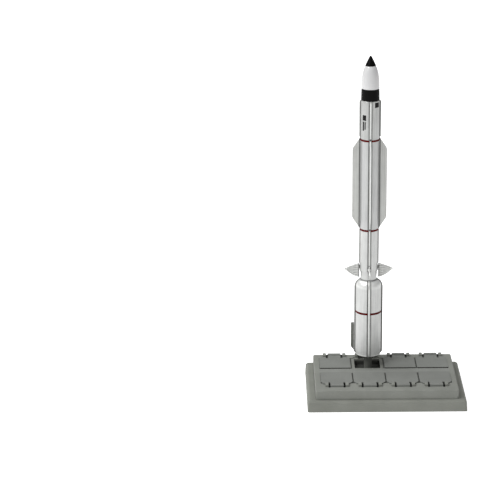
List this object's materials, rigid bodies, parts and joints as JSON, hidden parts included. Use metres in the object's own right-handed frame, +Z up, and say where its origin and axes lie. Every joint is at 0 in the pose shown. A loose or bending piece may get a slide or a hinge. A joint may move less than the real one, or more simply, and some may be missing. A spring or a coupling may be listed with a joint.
{
  "type": "model rocket on display base",
  "caption": "Slender silver two-stage model rocket with long wings and leaf tail fins, standing on a post in a grey hatched deck base with hinged lids.",
  "frame": {"origin": "centre of the base's footprint on the table", "axes": "+Z up along the rocket, +X to the right seen from the front, +Y to the back"},
  "size_m": [0.0936, 0.0648, 0.2025],
  "materials": {
    "base_grey": "satin grey moulded plastic",
    "inner_grey": "unpainted grey plastic",
    "pin_steel": "plain steel wire",
    "silver_body": "satin silver paint with dark wash lines and red rings",
    "wing_silver": "flat warm silver paint",
    "nose_white": "pearl white",
    "black_parts": "satin black"
  },
  "bodies": {
    "base": {"base_plinth": "base_grey", "base_bottom_plate": "base_grey", "base_deck": "base_grey", "uptake_cover": "base_grey", "support_post": "base_grey", "hinge_pin_back_1": "pin_steel", "hinge_pin_back_2": "pin_steel", "hinge_pin_back_3": "pin_steel", "hinge_pin_back_4": "pin_steel", "hinge_pin_front_1": "pin_steel", "hinge_pin_front_2": "pin_steel", "hinge_pin_front_3": "pin_steel", "hinge_pin_front_4": "pin_steel"},
    "booster": {"booster_tail_ring": "silver_body", "booster_end_plug": "inner_grey", "booster_shell": "silver_body"},
    "upper_stage": {"stage_joiner": "inner_grey", "tail_section": "silver_body", "lower_body": "silver_body", "wing_body": "silver_body", "wing_right": "wing_silver", "wing_back": "wing_silver", "wing_left": "wing_silver", "wing_front": "wing_silver", "upper_body": "silver_body", "nose_band": "black_parts", "nose_cone": "nose_white", "nose_tip": "black_parts"},
    "fin_right": {"tail_fin_right": "wing_silver"},
    "fin_back": {"tail_fin_back": "wing_silver"},
    "fin_left": {"tail_fin_left": "wing_silver"},
    "fin_front": {"tail_fin_front": "wing_silver"},
    "lid_back_1": {"hatch_lid_back_1": "base_grey"},
    "lid_back_2": {"hatch_lid_back_2": "base_grey"},
    "lid_back_3": {"hatch_lid_back_3": "base_grey"},
    "lid_back_4": {"hatch_lid_back_4": "base_grey"},
    "lid_front_1": {"hatch_lid_front_1": "base_grey"},
    "lid_front_2": {"hatch_lid_front_2": "base_grey"},
    "lid_front_3": {"hatch_lid_front_3": "base_grey"},
    "lid_front_4": {"hatch_lid_front_4": "base_grey"}
  },
  "joints": [
    {"name": "booster_lift", "type": "slide", "parent": "base", "child": "booster", "axis": [0, 0, 1], "range_m": [0, 0.03]},
    {"name": "upper_stage_lift", "type": "slide", "parent": "booster", "child": "upper_stage", "axis": [0, 0, 1], "range_m": [0, 0.02]},
    {"name": "fin_right_turn", "type": "hinge", "parent": "upper_stage", "child": "fin_right", "pos_m": [-0.00365, 0.0151, 0.074], "axis": [1, 0, 0], "range_deg": [-15, 15]},
    {"name": "fin_back_turn", "type": "hinge", "parent": "upper_stage", "child": "fin_back", "pos_m": [-0.0093, 0.02075, 0.074], "axis": [0, 1, 0], "range_deg": [-15, 15]},
    {"name": "fin_left_turn", "type": "hinge", "parent": "upper_stage", "child": "fin_left", "pos_m": [-0.01495, 0.0151, 0.074], "axis": [-1, 0, 0], "range_deg": [-15, 15]},
    {"name": "fin_front_turn", "type": "hinge", "parent": "upper_stage", "child": "fin_front", "pos_m": [-0.0093, 0.00945, 0.074], "axis": [0, -1, 0], "range_deg": [-15, 15]},
    {"name": "lid_back_1_hinge", "type": "hinge", "parent": "base", "child": "lid_back_1", "pos_m": [-0.02925, 0.0276, 0.01275], "axis": [-1, 0, 0], "range_deg": [0, 95]},
    {"name": "lid_back_2_hinge", "type": "hinge", "parent": "base", "child": "lid_back_2", "pos_m": [-0.00975, 0.0276, 0.01275], "axis": [-1, 0, 0], "range_deg": [-6, 5]},
    {"name": "lid_back_3_hinge", "type": "hinge", "parent": "base", "child": "lid_back_3", "pos_m": [0.00975, 0.0276, 0.01275], "axis": [-1, 0, 0], "range_deg": [0, 95]},
    {"name": "lid_back_4_hinge", "type": "hinge", "parent": "base", "child": "lid_back_4", "pos_m": [0.02925, 0.0276, 0.01275], "axis": [-1, 0, 0], "range_deg": [0, 95]},
    {"name": "lid_front_1_hinge", "type": "hinge", "parent": "base", "child": "lid_front_1", "pos_m": [-0.02925, -0.0224, 0.01275], "axis": [1, 0, 0], "range_deg": [0, 95]},
    {"name": "lid_front_2_hinge", "type": "hinge", "parent": "base", "child": "lid_front_2", "pos_m": [-0.00975, -0.0224, 0.01275], "axis": [1, 0, 0], "range_deg": [0, 95]},
    {"name": "lid_front_3_hinge", "type": "hinge", "parent": "base", "child": "lid_front_3", "pos_m": [0.00975, -0.0224, 0.01275], "axis": [1, 0, 0], "range_deg": [0, 95]},
    {"name": "lid_front_4_hinge", "type": "hinge", "parent": "base", "child": "lid_front_4", "pos_m": [0.02925, -0.0224, 0.01275], "axis": [1, 0, 0], "range_deg": [0, 95]}
  ]
}
